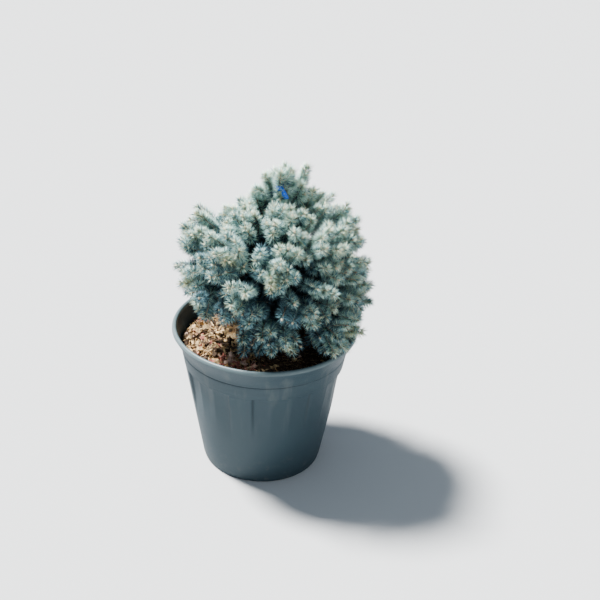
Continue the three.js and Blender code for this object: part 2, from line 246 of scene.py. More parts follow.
class Graph:
    """A node tree that is written as expressions."""

    def __init__(self, tree):
        self.tree = tree

    def node(self, kind, inputs=None, output=0, **settings):
        """A node of a kind: its settings first, then the values or links of its sockets."""
        made = self.tree.nodes.new(kind)
        for name, value in settings.items():
            setattr(made, name, value)
        for name, value in (inputs or {}).items():
            if isinstance(value, Socket):
                self.tree.links.new(value.output, made.inputs[name])
            else:
                made.inputs[name].default_value = value
        return Socket(self, made.outputs[output]) if output is not None else None

    def mixed(self, share, first, second):
        """The colour between two colours, by a share."""
        colours = {
            key: value if isinstance(value, Socket) else (*value, 1)
            for key, value in ((6, first), (7, second))
        }
        return self.node("ShaderNodeMix", {0: share, **colours}, output=2, data_type="RGBA")

    def stepped(self, value, low, high):
        """0 below low, 1 above high, and smooth between them."""
        limits = {"Value": value, "From Min": low, "From Max": high}
        return self.node("ShaderNodeMapRange", limits, interpolation_type="SMOOTHSTEP")

    def noise(self, where, scale, detail=2.0, roughness=0.5, output=0):
        values = {"Vector": where, "Scale": scale, "Detail": detail, "Roughness": roughness}
        return self.node("ShaderNodeTexNoise", values, output)

    def plates(self, where, scale):
        """How far each place lies from the cracks between plates."""
        values = {"Vector": where, "Scale": scale}
        return self.node("ShaderNodeTexVoronoi", values, feature="DISTANCE_TO_EDGE")

    def vector(self, operation, first, second):
        """Maths on vectors. SCALE takes a number second."""
        place = "Scale" if operation == "SCALE" else 1
        return self.node("ShaderNodeVectorMath", {0: first, place: second}, operation=operation)

    def stretched(self, where, scale):
        return self.node("ShaderNodeMapping", {"Vector": where, "Scale": scale})

    def bumped(self, height, depth):
        return self.node("ShaderNodeBump", {"Height": height, "Distance": depth, "Strength": 1.0})

    def object_place(self):
        return self.node("ShaderNodeTexCoord", output="Object")


def new_material(name, finish, *looks):
    """A material whose Principled shader gets what finish(graph, *looks) returns, by input name."""
    material = bpy.data.materials.new(name)
    material.use_nodes = True
    tree = material.node_tree
    tree.nodes.clear()
    graph = Graph(tree)
    surface = graph.node("ShaderNodeBsdfPrincipled", finish(graph, *looks))
    graph.node("ShaderNodeOutputMaterial", {"Surface": surface}, output=None)
    return material


def plain(graph, colour, roughness=0.55):
    """One base colour: needles and buds, whose tints are dealt out piece by piece, and the floor."""
    return {"Base Color": (*colour, 1), "Roughness": roughness, "Specular IOR Level": 0.35}


def pot_finish(graph, colour):
    """Matte moulded plastic: fine grain, a glossier lip painted paler as a highlight, creases painted dark as
    shade, dusty streaks and a splashed foot.
    """
    place = graph.object_place()
    height = graph.node("ShaderNodeSeparateXYZ", {0: place}, output=2)
    cloud = graph.noise(place, 9, 4)
    streak = graph.noise(graph.stretched(place, (34, 34, 4)), 1, 5, 0.6)
    dusty = graph.stepped(streak, 0.5, 0.72) * graph.stepped(height, 0.05, 0.3) * 0.13
    splash = graph.stepped(graph.noise(place, 55, 6, 0.7), 0.52, 0.75)
    foot_dust = splash * (1 - graph.stepped(height, 0.01, 0.09)) * 0.22
    crease = graph.node("ShaderNodeAttribute", output="Fac", attribute_name="crease")
    # The lip is painted paler and made glossier: a painted highlight along the rim.
    lip_highlight = graph.stepped(height, LIP_FOOT - 3 * MM, LIP_FOOT + 3 * MM) * (0.55 + 0.45 * cloud)
    body = graph.mixed(cloud, toned(colour, 0.86), toned(colour, 1.12))
    # Panel edges, panel tops and the collar groove are painted darker: painted shade in the creases.
    body = graph.mixed(crease * 0.6, body, toned(colour, 0.3))
    body = graph.mixed(lip_highlight, body, (0.13, 0.17, 0.175))
    body = graph.mixed(dusty, body, (0.30, 0.30, 0.27))
    return {
        "Base Color": graph.mixed(foot_dust, body, (0.26, 0.23, 0.19)),
        "Roughness": 0.46 + 0.2 * cloud + 0.3 * dusty - 0.22 * lip_highlight,
        "Specular IOR Level": 0.4,
        "Normal": graph.bumped(graph.noise(place, 900, 2) + 0.6 * cloud, 0.0003),
    }


def bark_finish(graph, dark, light):
    """Scaly bark: plates parted by dark cracks, on a bump of the same plates."""
    place = graph.object_place()
    crack = graph.stepped(graph.plates(graph.stretched(place, (1, 1, 0.5)), 330), 0.02, 0.16)
    patch = graph.noise(place, 120, 5, 0.65)
    return {
        "Base Color": graph.mixed(crack, toned(dark, 0.35), graph.mixed(patch, dark, light)),
        "Roughness": 0.78 + 0.15 * patch,
        "Normal": graph.bumped(crack + patch, 0.0006),
    }


def twig_finish(graph, dark, light):
    """Smooth young bark, mottled between two tones."""
    patch = graph.noise(graph.object_place(), 160, 4, 0.6)
    return {"Base Color": graph.mixed(graph.stepped(patch, 0.3, 0.7), dark, light), "Roughness": 0.7}


def chip_finish(graph, colour):
    """Dry bark: long grain in a darker and a lighter tone of its own colour."""
    place = graph.object_place()
    grain = graph.noise(graph.stretched(place, (260, 900, 500)), 1, 4, 0.6)
    patch = graph.noise(place, 140, 3)
    paler = graph.stepped(grain * 0.6 + patch * 0.4, 0.32, 0.68)
    return {
        "Base Color": graph.mixed(paler, toned(colour, 0.55), toned(colour, 1.25)),
        "Roughness": 0.85,
        "Specular IOR Level": 0.2,
        "Normal": graph.bumped(grain, 0.0006),
    }


def tape_finish(graph, colour):
    """Glossy plastic film with fine creases."""
    crease = graph.noise(graph.stretched(graph.object_place(), (300, 300, 90)), 1, 3)
    roughness, creased = 0.3 + 0.2 * crease, graph.bumped(crease, 0.001)
    return {"Base Color": (*colour, 1), "Roughness": roughness, "Normal": creased}


# Shapes


def new_object(name, data, *materials):
    """An object of a mesh, a lamp or a camera, in the scene."""
    for material in materials:
        data.materials.append(material)
    made = bpy.data.objects.new(name, data)
    bpy.context.scene.collection.objects.link(made)
    return made


def smooth_mesh(name, points, faces):
    mesh = bpy.data.meshes.new(name)
    mesh.from_pydata(points.tolist(), [], faces)
    mesh.polygons.foreach_set("use_smooth", np.ones(len(mesh.polygons), dtype=bool))
    mesh.update()
    return mesh


def revolved(name, rows, pole_low, pole_high):
    """A closed skin over rings of points, from the low pole up. rows is rings by points by XYZ."""
    points = np.concatenate([[pole_low], rows.reshape(-1, 3), [pole_high]])
    here = 1 + np.arange(rows.size // 3).reshape(rows.shape[:2])
    beside = np.roll(here, -1, axis=1)
    low = [(0, b, a) for a, b in zip(here[0], beside[0])]
    sheets = columns(here[:-1], beside[:-1], beside[1:], here[1:]).reshape(-1, 4)
    high = [(len(points) - 1, a, b) for a, b in zip(here[-1], beside[-1])]
    return smooth_mesh(name, points, low + sheets.tolist() + high)


def points_mesh(name, points, attributes, edges=()):
    """A mesh of points, or of points and edges, with named attributes for a node tree to read."""
    mesh = bpy.data.meshes.new(name)
    mesh.from_pydata(np.asarray(points).tolist(), list(edges), [])
    for key, values in attributes.items():
        values = np.asarray(values)
        if values.ndim == 2:
            kind, field, number = "FLOAT_VECTOR", "vector", np.float32
        elif values.dtype.kind == "i":
            kind, field, number = "INT", "value", np.int32
        else:
            kind, field, number = "FLOAT", "value", np.float32
        layer = mesh.attributes.new(key, kind, "POINT")
        layer.data.foreach_set(field, values.astype(number).ravel())
    return mesh


class GeometryTree(Graph):
    """A Geometry Nodes tree with named inputs, which ends in Realize Instances and Set Material."""

    def __init__(self, name):
        super().__init__(bpy.data.node_groups.new(name, "GeometryNodeTree"))
        self.identifiers = {}
        self.entry = self.tree.nodes.new("NodeGroupInput")
        self.exit = self.tree.nodes.new("NodeGroupOutput")
        self.source = self.input("Geometry", "NodeSocketGeometry")
        self.tree.interface.new_socket("Geometry", in_out="OUTPUT", socket_type="NodeSocketGeometry")

    def input(self, name, kind, default=None):
        socket = self.tree.interface.new_socket(name, in_out="INPUT", socket_type=kind)
        if default is not None:
            socket.default_value = default
        self.identifiers[name] = socket.identifier
        return Socket(self, self.entry.outputs[name])

    def attribute(self, name, kind="FLOAT"):
        return self.node("GeometryNodeInputNamedAttribute", {"Name": name}, data_type=kind)

    def moved(self, geometry, offset):
        return self.node("GeometryNodeSetPosition", {"Geometry": geometry, "Offset": offset})

    def shaded(self, geometry, smooth=True):
        return self.node("GeometryNodeSetShadeSmooth", {"Geometry": geometry, "Shade Smooth": smooth})

    def finish(self, geometry, finishes):
        """Realizes the geometry, and gives each piece the material that its tint numbers."""
        geometry = self.node("GeometryNodeRealizeInstances", {"Geometry": geometry})
        for number, name in enumerate(finishes):
            chosen = self.node("FunctionNodeCompare", {2: self.attribute("tint", "INT"), 3: number},
                               data_type="INT", operation="EQUAL")
            material = self.input(name, "NodeSocketMaterial")
            geometry = self.node("GeometryNodeSetMaterial",
                                 {"Geometry": geometry, "Selection": chosen, "Material": material})
        self.tree.links.new(geometry.output, self.exit.inputs[0])


def grown(name, source, tree, values):
    """The plain mesh object that a node tree makes from a source mesh, with the tree's inputs set by name."""
    carrier = new_object(name + "_source", source)
    modifier = carrier.modifiers.new(tree.tree.name, "NODES")
    modifier.node_group = tree.tree
    for key, value in values.items():
        modifier[tree.identifiers[key]] = value
    bpy.context.view_layer.update()
    evaluated = carrier.evaluated_get(bpy.context.evaluated_depsgraph_get())
    mesh = bpy.data.meshes.new_from_object(evaluated)
    mesh.name = name
    carrier.modifiers.remove(modifier)
    bpy.data.objects.remove(carrier)
    for key in ("along", "size", "tint", "turn", "girth"):
        if key in mesh.attributes:
            mesh.attributes.remove(mesh.attributes[key])
    if not mesh.polygons:
        raise RuntimeError(f"{name} came out empty")
    return new_object(name, mesh)


def standing_tree(name, shape, finishes, jagged=False, smooth=True):
    """A tree that stands a small shape on each point, along the point's own direction, at its own size."""
    tree = GeometryTree(name)
    width = tree.input("Width", "NodeSocketFloat", 1.0)
    stretch = tree.node("ShaderNodeCombineXYZ", {0: width, 1: width, 2: 1.0})
    size = tree.vector("MULTIPLY", tree.attribute("size", "FLOAT_VECTOR"), stretch)
    turn, along = (tree.attribute(name, "FLOAT_VECTOR") for name in ("turn", "along"))
    aligned = tree.node("FunctionNodeAlignRotationToVector", {"Rotation": turn, "Vector": along}, axis="Z")
    made = tree.node("GeometryNodeInstanceOnPoints",
                     {"Points": tree.source, "Instance": shape(tree), "Rotation": aligned, "Scale": size})
    if jagged:
        made = tree.node("GeometryNodeRealizeInstances", {"Geometry": made})
        rough = tree.input("Roughness", "NodeSocketFloat", 0.0)
        shove = tree.noise(tree.node("GeometryNodeInputPosition"), 160.0, 3.0, output="Color")
        shove = tree.vector("SUBTRACT", shove, (0.5, 0.5, 0.5))
        made = tree.moved(made, tree.vector("SCALE", shove, rough))
    tree.finish(tree.shaded(made, smooth), finishes)
    return tree


def swept_tree(name, finishes):
    """A tree that sweeps a round limb along each line of points, by the points' girth, with a bark relief."""
    tree = GeometryTree(name)
    sides = tree.input("Sides", "NodeSocketInt", 6)
    relief = tree.input("Relief", "NodeSocketFloat", 0.0)
    line = tree.node("GeometryNodeMeshToCurve", {"Mesh": tree.source})
    circle = {"Resolution": sides, "Radius": 1.0}
    profile = tree.node("GeometryNodeCurvePrimitiveCircle", circle, mode="RADIUS")
    limb = tree.node("GeometryNodeCurveToMesh",
                     {"Curve": line, "Profile Curve": profile, "Scale": tree.attribute("girth"),
                      "Fill Caps": True})
    place = tree.node("GeometryNodeInputPosition")
    plates = tree.plates(tree.vector("MULTIPLY", place, (1.0, 1.0, 0.45)), 200.0)
    knots = tree.noise(place, 70.0, 3.0)
    lift = (tree.stepped(plates, 0.0, 0.25) * 0.55 + knots - 0.9) * relief
    limb = tree.moved(limb, tree.vector("SCALE", tree.node("GeometryNodeInputNormal"), lift))
    tree.finish(tree.shaded(limb), finishes)
    return tree


def needle_shape(tree):
    """A three-sided needle of four faces, one unit long, thickest below its middle."""
    mesh = bpy.data.meshes.new("needle")
    points = [(0.25, 0, 0), (0.25, 0, 1), (-0.25, 0.5, 0.42), (-0.25, -0.5, 0.42)]
    mesh.from_pydata(points, [], [(0, 3, 2), (1, 2, 3), (0, 2, 1), (0, 1, 3)])
    keeper = bpy.data.objects.new("needle", mesh)
    return tree.node("GeometryNodeObjectInfo", {"Object": keeper}, output="Geometry")


def bud_shape(tree):
    """A small egg that sits on its foot."""
    ball = tree.node("GeometryNodeMeshUVSphere", {"Segments": 7, "Rings": 5, "Radius": 0.5})
    return tree.node("GeometryNodeTransform", {"Geometry": ball, "Translation": (0.0, 0.0, 0.3)})


def chip_shape(tree):
    """A flat block with a few faces to a side, which the tree's noise breaks into a nugget."""
    return tree.node("GeometryNodeMeshCube",
                     {"Size": (1.0, 1.0, 1.0), "Vertices X": 4, "Vertices Y": 3, "Vertices Z": 2})


def strewn(name, tree, values, place, **attributes):
    """The piece that a standing tree makes at these places, with their directions, sizes and tints."""
    attributes.setdefault("turn", np.zeros_like(place))
    return grown(name, points_mesh(f"{name}_places", place, attributes), tree, {"Width": 1.0, **values})


# The plant's rule, as the source has it


class SeededRandom:
    """The source's own number row, so that every limb stands where its solid does."""

    def __init__(self, seed):
        self.state = seed

    def __call__(self):
        self.state = (self.state * 1664525 + 1013904223) % 4294967296
        return self.state / 4294967296


def heading(bearing, rise):
    """The direction at a bearing from +X and a rise above level, in degrees."""
    return leant(around_axis(1, math.radians(bearing), 0), UPWARDS, math.radians(rise))


def all_masses():
    """The masses of the crown, one on each bough and the leader last, with their walls and seeds."""
    masses = []
    for tier, rise, root, shoots, boughs in TIERS:
        for index, (bearing, reach) in enumerate(boughs):
            stagger = ROOT_STAGGER * ((3 * index) % len(boughs)) / len(boughs)
            masses.append({
                "tier": tier, "name": f"{tier}_{index + 1}", "axis": heading(bearing, rise),
                "bearing": bearing, "reach": reach, "shoots": shoots, "start": BOUGH_REACH,
                "root": (root + stagger) * MM,
            })
    masses.append({
        "tier": "upper", "name": "leader", "axis": heading(LEADER_BEARING, LEADER_RISE),
        "bearing": LEADER_BEARING, "reach": 1.0, "shoots": 5, "start": LEADER_REACH, "root": None,
    })
    for index, mass in enumerate(masses):
        mass["seed"] = 101 + 37 * index
        normals = [unit(mass["axis"] - other["axis"]) for other in masses if other is not mass]
        mass["walls"] = [(normal, normal @ HEART + 0.5 * MM) for normal in normals]
        mass["walls"].append((UPWARDS, CROWN_FLOOR))
    return masses


def share_inside(start, end, walls):
    """The share of the way from a point inside the walls to another that stays inside them."""
    share = 1.0
    for normal, offset in walls:
        a = normal @ start - offset
        b = normal @ end - offset
        if b < 0:
            share = min(share, max(0.0, a / (a - b)))
    return share


def outline_reach(direction):
    """How far the crown's outline lies from the heart in a direction."""
    start = (HEART - CROWN_MIDDLE) / CROWN_RADII
    step = direction / CROWN_RADII
    a, b, c = step @ step, start @ step, start @ start - 1
    return (-b + math.sqrt(b * b - a * c)) / a


def side_of(direction):
    """An axis that lies well aside from a direction."""
    return UPWARDS if abs(direction[2]) < 0.8 else np.array((1.0, 0.0, 0.0))


def out_from(along, angle, side=None):
    """The direction square to a line, at an angle round it."""
    u = unit(np.cross(side_of(along) if side is None else side, along))
    return leant(u, np.cross(along, u), angle)


def arc(start, knee, end, t):
    """Points of the quadratic curve through a knee."""
    t = np.atleast_1d(t)[:, None]
    return (1 - t) ** 2 * start + 2 * t * (1 - t) * knee + t * t * end


def trunk_points(t):
    """Points of the smooth line through the trunk's foot, waist and heart to the leading shoot."""
    foot = TRUNK_FOOT + UPWARDS * JOINT_GAP
    tip = HEART + heading(LEADER_BEARING, LEADER_RISE) * (LEADER_REACH - JOINT_GAP)
    knots = [2 * foot - TRUNK_WAIST, foot, TRUNK_WAIST, HEART, tip, 2 * tip - HEART]
    made = []
    for share in np.atleast_1d(t):
        span = min(int(share * 3), 2)
        p0, p1, p2, p3 = knots[span:span + 4]
        w = share * 3 - span
        d0, d1, d2 = (math.sqrt(np.linalg.norm(b - a)) for a, b in ((p0, p1), (p1, p2), (p2, p3)))
        m1 = ((p1 - p0) / d0 - (p2 - p0) / (d0 + d1) + (p2 - p1) / d1) * d1
        m2 = ((p2 - p1) / d1 - (p3 - p1) / (d1 + d2) + (p3 - p2) / d2) * d1
        made.append(p1 + m1 * w + (3 * (p2 - p1) - 2 * m1 - m2) * w * w + (2 * (p1 - p2) + m1 + m2) * w ** 3)
    return np.array(made)


def trunk_radius(height, top):
    flare = np.clip(1 - (height - BARK_CREST) / FLARE_HEIGHT, 0, 1.25)
    taper = (height - BARK_CREST) / (top - BARK_CREST)
    spread = TRUNK_FOOT_RADIUS - TRUNK_WAIST_RADIUS
    return blend(TRUNK_WAIST_RADIUS, TRUNK_TIP_RADIUS, taper) + spread * flare * flare


def bough_points(mass, t):
    """Points of the bough from its root in the trunk to the foot of its mass."""
    line = trunk_points(np.linspace(0, 1, 400))
    root = line[np.argmin(np.abs(line[:, 2] - mass["root"]))]
    tip = HEART + mass["axis"] * (mass["start"] - JOINT_GAP)
    middle = blend(root, tip, 0.5)
    middle[2] = blend(root[2], tip[2], 0.35)
    tail = HEART + mass["axis"] * (mass["start"] - JOINT_GAP - BOUGH_TAIL)
    t = t[:, None]
    return (1 - t) ** 3 * root + 3 * t * (1 - t) ** 2 * middle + 3 * t * t * (1 - t) * tail + t ** 3 * tip


def primary_shoots(mass, random):
    """The leading shoot of a mass and its side shoots, each as (foot, knee, bud)."""
    axis, walls = mass["axis"], mass["walls"]
    turn = random() * math.pi
    reach = outline_reach(axis) * mass["reach"]
    aside = []
    for k in range(mass["shoots"]):
        angle = turn + TURN * (k + 0.3 * (random() - 0.5)) / mass["shoots"]
        tilt = SPREAD_MOST / SPREAD_FILL * blend(0.85, 1, random())
        centre = HEART + axis * reach
        edge = HEART + leant(axis, out_from(axis, angle), tilt) * reach
        aside.append(unit(blend(centre, edge, SPREAD_FILL * share_inside(centre, edge, walls)) - HEART))

    def bud_at(direction, share):
        bud = HEART + direction * (outline_reach(direction) * mass["reach"] * share - BUD_INSET)
        bud[2] = max(bud[2], CROWN_FLOOR + 11 * MM)
        return bud

    foot = HEART + axis * mass["start"]
    bud = bud_at(axis, 1)
    stem = (foot, blend(foot, bud, 0.5), bud)
    shoots = [stem]
    for k, direction in enumerate(aside):
        bud = bud_at(direction, blend(0.9, 1, random()))
        foot = arc(*stem, blend(0.05, 0.33, k / (len(aside) - 1)))[0]
        knee = blend(foot, bud, 0.55) + (direction - axis) * TWIG_BOW
        shoots.append((foot, knee, bud))
    return shoots


def finer_shoots(parent, mass, random, count):
    """Finer twigs set round a shoot, turned forwards, which stay inside the mass's walls and the outline."""
    length = np.linalg.norm(parent[2] - parent[0])
    walls = [(normal, offset + WALL_INSET) for normal, offset in mass["walls"]]
    turn = random() * TURN
    made = []
    for k in range(count):
        t = blend(0.2, 0.66, (k + 0.5 * random()) / max(1, count - 0.5))
        before, foot, after = arc(*parent, [t - 0.02, t, t + 0.02])
        forward = unit(after - before)
        out = out_from(forward, turn + k * GOLDEN_ANGLE + 0.5 * (random() - 0.5))
        lean = math.radians(blend(44, 34, t)) * blend(0.9, 1.12, random())
        direction = leant(forward, out, lean)
        reach = length * blend(0.78, 0.36, t) * blend(0.88, 1.12, random())
        bud = foot + direction * reach
        bud = blend(foot, bud, share_inside(foot, bud, walls))
        radial = bud - HEART
        distance = np.linalg.norm(radial)
        most = outline_reach(radial / distance) * mass["reach"] + blend(4, -20, random()) * MM
        if distance > most:
            bud = HEART + radial * (most / distance)
        if np.linalg.norm(bud - foot) < SHORTEST_TWIG:
            continue
        knee = blend(foot, bud, 0.5) + (direction - forward) * reach * 0.1
        made.append((foot, knee, bud))
    return made


def inner_shoots(mass, random):
    """Short shaded shoots along a bough, or along the trunk's top under the leading shoot."""
    if mass["root"] is None:
        line = trunk_points(np.linspace(0.55, 0.98, 41))
    else:
        line = bough_points(mass, np.linspace(0.3, 1, 41))
    turn = random() * TURN
    made = []
    for k in range(INNER_SHOOTS):
        place = 3 + int(34 * (k + random()) / INNER_SHOOTS)
        foot = line[place]
        forward = unit(line[place + 2] - line[place - 2])
        aside = out_from(forward, turn + k * GOLDEN_ANGLE)
        bud = foot + (forward * 0.62 + aside * 0.78) * blend(42, 66, random()) * MM
        bud[2] = max(bud[2], CROWN_FLOOR + 14 * MM)
        made.append({"path": (foot, blend(foot, bud, 0.5), bud), "mass": mass, "rank": SHADED, "tint": 0.9})
    return made


def all_shoots(masses, finer):
    """Every shoot of the crown: its path, its mass, its rank, which is its kind, and its tint from 0 to 1."""
    shoots = []
    for mass in masses:
        random = SeededRandom(mass["seed"])
        primary = primary_shoots(mass, random)
        if mass["root"] is None:
            primary = [(foot, knee, HEART + (bud - HEART) * share)
                       for (foot, knee, bud), share in zip(primary, LEADER_TIPS)]
        for k, parent in enumerate(primary):
            shoots.append({"path": parent, "mass": mass, "rank": SIDE if k else LEADING, "tint": random()})
            for child in finer_shoots(parent, mass, random, finer):
                shoots.append({"path": child, "mass": mass, "rank": FINER, "tint": random()})
        shoots.extend(inner_shoots(mass, random))
    return shoots


# Settings


def setting(kind, **measure):
    """A function that makes a property of a kind from its name, description and default."""
    return lambda name, description, default: kind(
        name=name, description=description, default=default, **measure)


how_many = setting(IntProperty)
how_much = setting(FloatProperty)
how_long = setting(FloatProperty, unit="LENGTH")
which_colour = setting(FloatVectorProperty, subtype="COLOR")


class PotSettings(PropertyGroup):
    panel_depth: how_long("Panel depth", "How far the pot's six panels are sunk", 4 * MM)
    rib_height: how_long("Rib height", "How far the ribs stand out of a panel", 1.7 * MM)
    colour: which_colour("Pot colour", "Base colour of the pot", (0.037, 0.062, 0.075))


class BarkSettings(PropertyGroup):
    chips: how_many("Chips", "Number of bark chips on the pot's filling", 3300)
    chip_length: how_long("Chip length", "Length of a usual bark chip", 8.5 * MM)
    litter: how_many("Fallen needles", "Number of dry needles on the bark", 1500)


class LimbSettings(PropertyGroup):
    relief: how_long("Bark relief", "How far bark plates stand out on trunk and boughs", 1.3 * MM)
    dark: which_colour("Dark bark", "Darker tone of the bark", (0.07, 0.045, 0.03))
    light: which_colour("Light bark", "Lighter tone of the bark", (0.22, 0.155, 0.11))


class CrownSettings(PropertyGroup):
    finer: how_many("Finer twigs", "Finer twigs on each shoot", 3)
    needle_length: how_long("Needle length", "Length of a full-grown needle", 18 * MM)
    needle_width: how_long("Needle width", "Width of a needle", 1.45 * MM)
    needles_per_metre: how_much("Needles per metre", "Needles on a metre of shoot", 5000)
    # Each spray's tint is dealt by where it sits: frost and silver are painted light on high, right-hand and
    # outer sprays and on the leader; grey and deep are painted shade low down, near the heart and at each
    # spray's foot; cream tips are partly painted highlight.
    frost: which_colour("Frost", "Thickest bloom, on some outer needles", (0.57, 0.765, 0.655))
    silver: which_colour("Silver blue", "Bloom on the young outer needles", (0.43, 0.625, 0.57))
    blue: which_colour("Blue green", "Most of the needles", (0.212, 0.38, 0.408))
    grey: which_colour("Grey green", "Older sprays", (0.103, 0.182, 0.215))
    deep: which_colour("Deep green", "Needles near the foot of a spray", (0.026, 0.047, 0.061))
    yellow: which_colour("Yellow green", "A few tired sprays", (0.45, 0.50, 0.31))
    cream: which_colour("Cream", "Young needles round a bud", (0.70, 0.735, 0.53))


class TapeSettings(PropertyGroup):
    width: how_long("Tape width", "Width of the marker tape", 10 * MM)
    tail: how_long("Tail", "Length of its loose end", 20 * MM)
    colour: which_colour("Tape colour", "Colour of the marker tape", (0.01, 0.12, 0.62))


class StudioSettings(PropertyGroup):
    floor_colour: which_colour("Floor colour", "Plain pale floor", (0.50, 0.50, 0.495))
    key_power: how_much("Key light", "Strength of the soft distant key light", 12)
    fill_power: how_much("Fill light", "Power of the soft fill light in watts", 13)
    sky: how_much("Room light", "Strength of the even light of the room", 0.46)


# Operators


def pot_wall(height):
    """The plain outer radius of the pot at a height."""
    return FOOT_RADIUS + WALL_TAPER * height


def pot_profile():
    """The pot's section from its foot over the lip to its floor: radius, height and share of panel depth."""
    profile = [(FOOT_RADIUS - FOOT_ROUNDING + FOOT_ROUNDING * math.sin(a),
                FOOT_ROUNDING - FOOT_ROUNDING * math.cos(a), 0) for a in np.radians((0, 22, 45, 68, 90))]
    profile += [(pot_wall(z), z, ease((z - PANEL_FOOT) / (PANEL_TOP - PANEL_FOOT) * 1.25))
                for z in np.linspace(10 * MM, PANEL_TOP - 2 * MM, 34)]
    top = pot_wall(PANEL_TOP)
    profile += [(top - 0.2 * MM, PANEL_TOP - 0.8 * MM, 0.85), (top - 0.3 * MM, PANEL_TOP, 0.15),
                (top + 0.6 * MM, PANEL_TOP + 1 * MM, 0), (top + 0.6 * MM, PANEL_TOP + 4 * MM, 0)]
    profile += [(pot_wall(z) + 0.4 * MM, z, 0)
                for z in np.linspace(PANEL_TOP + 8 * MM, FLARE_FOOT - 3 * MM, 5)]
    groove = pot_wall(FLARE_FOOT)
    profile += [(groove, FLARE_FOOT - 1 * MM, 0), (groove - 0.9 * MM, FLARE_FOOT, 0),
                (groove + 0.3 * MM, FLARE_FOOT + 1 * MM, 0)]
    for share in np.linspace(0.08, 1, 14):
        z = FLARE_FOOT + (LIP_FOOT - FLARE_FOOT) * share
        profile.append((blend(pot_wall(z), RIM_RADIUS, share ** 1.9), z, 0))
    middle, roll = (RIM_RADIUS + LIP_INNER_RADIUS) / 2, (RIM_RADIUS - LIP_INNER_RADIUS) / 2
    profile += [(middle + roll * math.cos(a), LIP_FOOT + (POT_HEIGHT - LIP_FOOT) * math.sin(a), 0)
                for a in np.radians(np.arange(12, 181, 12))]
    profile += [(178 * MM, 300 * MM, 0), (175.5 * MM, 288 * MM, 0), (172 * MM, 274 * MM, 0),
                (pot_wall(260 * MM) - 4 * MM, 260 * MM, 0), (top - INNER_SETBACK, PANEL_TOP, 0),
                (FOOT_RADIUS - INNER_SETBACK, POT_FLOOR, 0)]
    return np.array(profile).T


class SPRUCE_OT_pot(Operator):
    """Mould the ribbed nursery pot with its flared, rounded rim"""

    bl_idname = "spruce.pot"
    bl_label = "Pot"

    def execute(self, context):
        settings = context.scene.spruce_pot
        degrees = np.arange(360)
        half_pitch = PANEL_PITCH // 2
        offset = (degrees - PANEL_MIDDLE + half_pitch) % PANEL_PITCH - half_pitch
        inside = 1 - ease((np.abs(offset) - PANEL_HALF_WIDTH + PANEL_EDGE) / PANEL_EDGE)
        face = (offset + PANEL_HALF_WIDTH) / (2 * PANEL_HALF_WIDTH / 3) % 1
        sunk = inside * (settings.panel_depth + settings.rib_height * (1 - (2 * face - 1) ** 2))
        radius, z, share = (values[:, None] for values in pot_profile())
        rows = around_axis(radius - sunk * share, np.radians(degrees), z)

        # Where the material darkens the pot: painted shade along the panels' edges, under the panel tops and
        # in the collar groove.
        edge = 4 * inside * (1 - inside) * share
        brow = inside * (np.abs(z - PANEL_TOP + 0.2 * MM) < 1 * MM)
        groove = np.where(np.abs(z - FLARE_FOOT) < 0.2 * MM, 0.6, 0.0)
        crease = np.maximum(np.maximum(edge, brow), groove).ravel()
        mesh = revolved("nursery_pot", rows, (0, 0, 0), (0, 0, POT_FLOOR))
        crease_shade = mesh.attributes.new("crease", "FLOAT", "POINT")
        crease_shade.data.foreach_set("value", np.concatenate([[0], crease, [0]]).astype(np.float32))
        pot = new_object("nursery_pot", mesh, new_material("pot plastic", pot_finish, settings.colour))
        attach(pot, "root")
        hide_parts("pot")
        return {"FINISHED"}


def bark_height(x, y):
    """The height of the bark's surface: mounded to the trunk, with small hollows."""
    radius = np.hypot(x, y)
    mound = blend(BARK_CREST, BARK_EDGE, np.clip((radius - BARK_CREST_RADIUS) / BARK_SLOPE, 0, 1) ** 1.2)
    waves = np.sin(x * 71 + 1.3) * np.cos(y * 57 - 0.4) + 0.6 * np.sin(x * 143 - y * 121 + 2)
    waves += 1.1 * np.sin(x * 240 + y * 90 + 1) * np.sin(y * 225 - x * 60 + 2.2)
    return mound + 1.7 * MM * waves


def on_disc(dice, count, radius, least):
    """X and Y of random places, even over a disc, apart from the least share of its area in the middle."""
    distance = radius * np.sqrt(dice.uniform(least, 1, count))
    around = dice.uniform(0, TURN, count)
    return distance * np.cos(around), distance * np.sin(around)


BARK_TINTS = {
    "tan bark": (0.66, 0.49, 0.285),
    "pink bark": (0.62, 0.44, 0.36),
    "orange bark": (0.40, 0.255, 0.135),
    "red bark": (0.38, 0.155, 0.12),
    "dark bark": (0.085, 0.057, 0.038),
}
TAN, PINK, ORANGE, RED, DARK = range(5)


def chip_tints(dice, x, y):
    """The chips' tints: mostly tan, with dark moist patches that lean to the right as painted shade, a ruddy
    patch, and a right side painted dark as the crown's shadow.
    """
    count = len(x)
    tint = dice.choice(5, count, p=[0.42, 0.03, 0.19, 0.05, 0.31])
    # Moist patches, with more of them towards the right: the lean to the right is painted shade.
    damp_and_shaded = np.sin(x * 83 + 2) * np.sin(y * 96 - 1) + dice.normal(0, 0.35, count) + 8 * x > 0.45
    tint[damp_and_shaded] = dice.choice([ORANGE, RED, DARK], damp_and_shaded.sum(), p=[0.45, 0.07, 0.48])
    ruddy = (np.hypot(x + 55 * MM, y + 118 * MM) < 44 * MM) & (dice.uniform(0, 1, count) < 0.75)
    tint[ruddy] = dice.choice([PINK, ORANGE, RED], ruddy.sum(), p=[0.45, 0.15, 0.4])
    # Nine in ten chips right of x = -10 mm are dark bark: painted shadow of the crown.
    tint[(x > -10 * MM) & (dice.uniform(0, 1, count) < 0.9)] = DARK
    return tint


